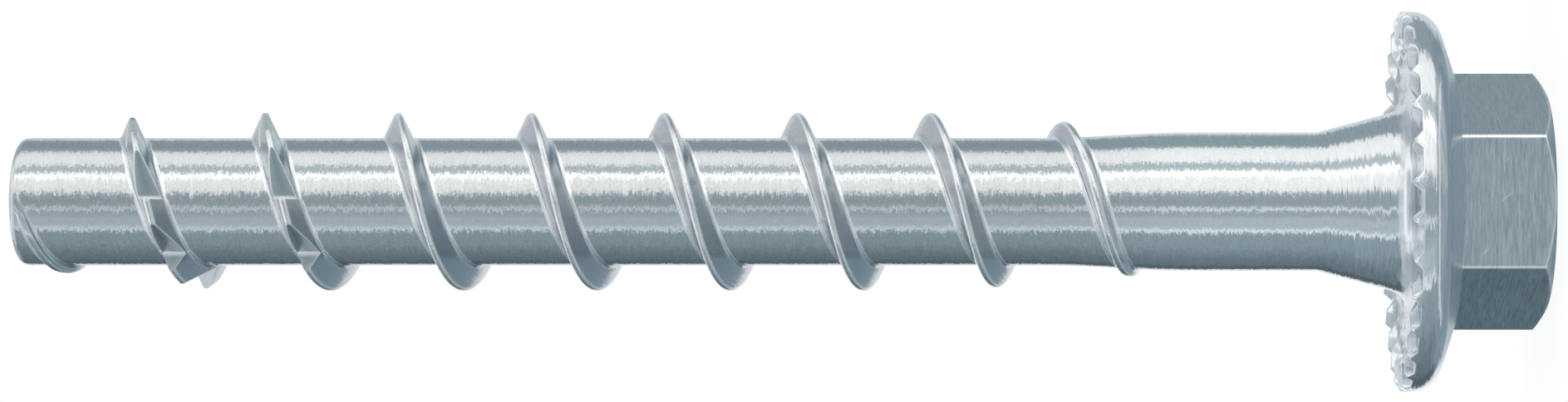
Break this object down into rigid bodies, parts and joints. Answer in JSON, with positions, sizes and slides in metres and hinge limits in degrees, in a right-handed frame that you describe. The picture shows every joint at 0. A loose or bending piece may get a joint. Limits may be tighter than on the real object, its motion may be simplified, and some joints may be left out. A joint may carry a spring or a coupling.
{
  "type": "concrete screw",
  "caption": "Hex washer head concrete screw with a ribbed flange, conical neck, plain shank and a coarse cutting thread.",
  "frame": {"origin": "centre of the hexagon's end face, on the screw's axis", "axes": "+Z along the screw's axis from the head to the tip; two opposite flats of the hexagon face +Y and -Y"},
  "size_m": [0.022, 0.022, 0.0885],
  "materials": {
    "zinc_plated_steel": "bright zinc plating over rolled steel, with fine marks round the shank"
  },
  "bodies": {
    "root": {"concrete_screw": "zinc_plated_steel"}
  },
  "joints": []
}
